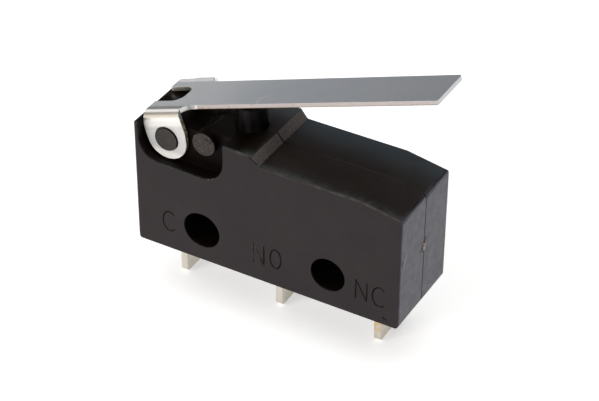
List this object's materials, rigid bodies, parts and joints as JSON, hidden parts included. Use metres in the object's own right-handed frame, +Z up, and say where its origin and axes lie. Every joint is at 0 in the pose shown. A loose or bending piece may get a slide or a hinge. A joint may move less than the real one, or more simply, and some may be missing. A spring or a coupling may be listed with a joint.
{
  "type": "lever micro switch",
  "caption": "Subminiature snap-action micro switch: dark two-part moulded body, hinged sheet-steel lever over a plunger, flat solder terminals.",
  "frame": {"origin": "on the axis of the round mounting hole, halfway through the thickness of the body", "axes": "+Z up, away from the terminals; +X along the body towards the free end of the lever; +Y along the mounting hole, through the body from the marked face"},
  "size_m": [0.021, 0.0064, 0.0209],
  "materials": {
    "housing": "moulded, fine matt",
    "plunger_plastic": "moulded, smooth",
    "lever_steel": "satin stainless sheet, bright sheared edges",
    "terminal": "silver-plated brass, dull",
    "contact": "silver alloy",
    "blade_bronze": "bronze sheet",
    "inner_steel": "spring steel"
  },
  "bodies": {
    "housing": {"housing_base": "housing", "housing_cover": "housing", "terminal_common": "terminal", "terminal_no": "terminal", "terminal_nc": "terminal", "contact_no": "contact", "contact_nc": "contact"},
    "lever": {"hinge_lever": "lever_steel"},
    "plunger": {"plunger": "plunger_plastic"},
    "inner_lever": {"inner_lever": "inner_steel"},
    "moving_contact": {"contact_blade": "blade_bronze", "contact_moving": "contact"},
    "spring": {"tension_spring": "inner_steel"}
  },
  "joints": [
    {"name": "lever_hinge", "type": "hinge", "parent": "housing", "child": "lever", "pos_m": [-0.01248, 0, 0.00587], "axis": [0, 1, 0], "range_deg": [0, 15.9], "stiffness_Nm_per_rad": 0.02},
    {"name": "plunger_slide", "type": "slide", "parent": "housing", "child": "plunger", "axis": [0, 0, -1], "range_m": [0, 0.00147]},
    {"name": "inner_lever_hinge", "type": "hinge", "parent": "housing", "child": "inner_lever", "pos_m": [-0.0128, 0, 0.00445], "axis": [0, 1, 0], "range_deg": [0, 15.65]},
    {"name": "moving_contact_hinge", "type": "hinge", "parent": "housing", "child": "moving_contact", "pos_m": [-0.01223, 0, 0.0039], "axis": [0, 1, 0], "range_deg": [0, 1.69]},
    {"name": "spring_hinge", "type": "hinge", "parent": "moving_contact", "child": "spring", "pos_m": [-0.00105, 0, 0.0039], "axis": [0, -1, 0], "range_deg": [0, 21.5]}
  ],
  "couplings": [
    {"joint": "plunger_slide", "follows": "lever_hinge", "m_per_rad": 0.005281},
    {"joint": "inner_lever_hinge", "follows": "lever_hinge", "ratio": 0.983},
    {"joint": "moving_contact_hinge", "follows": "lever_hinge", "ratio": 0.10566},
    {"joint": "spring_hinge", "follows": "lever_hinge", "ratio": 1.3507}
  ]
}
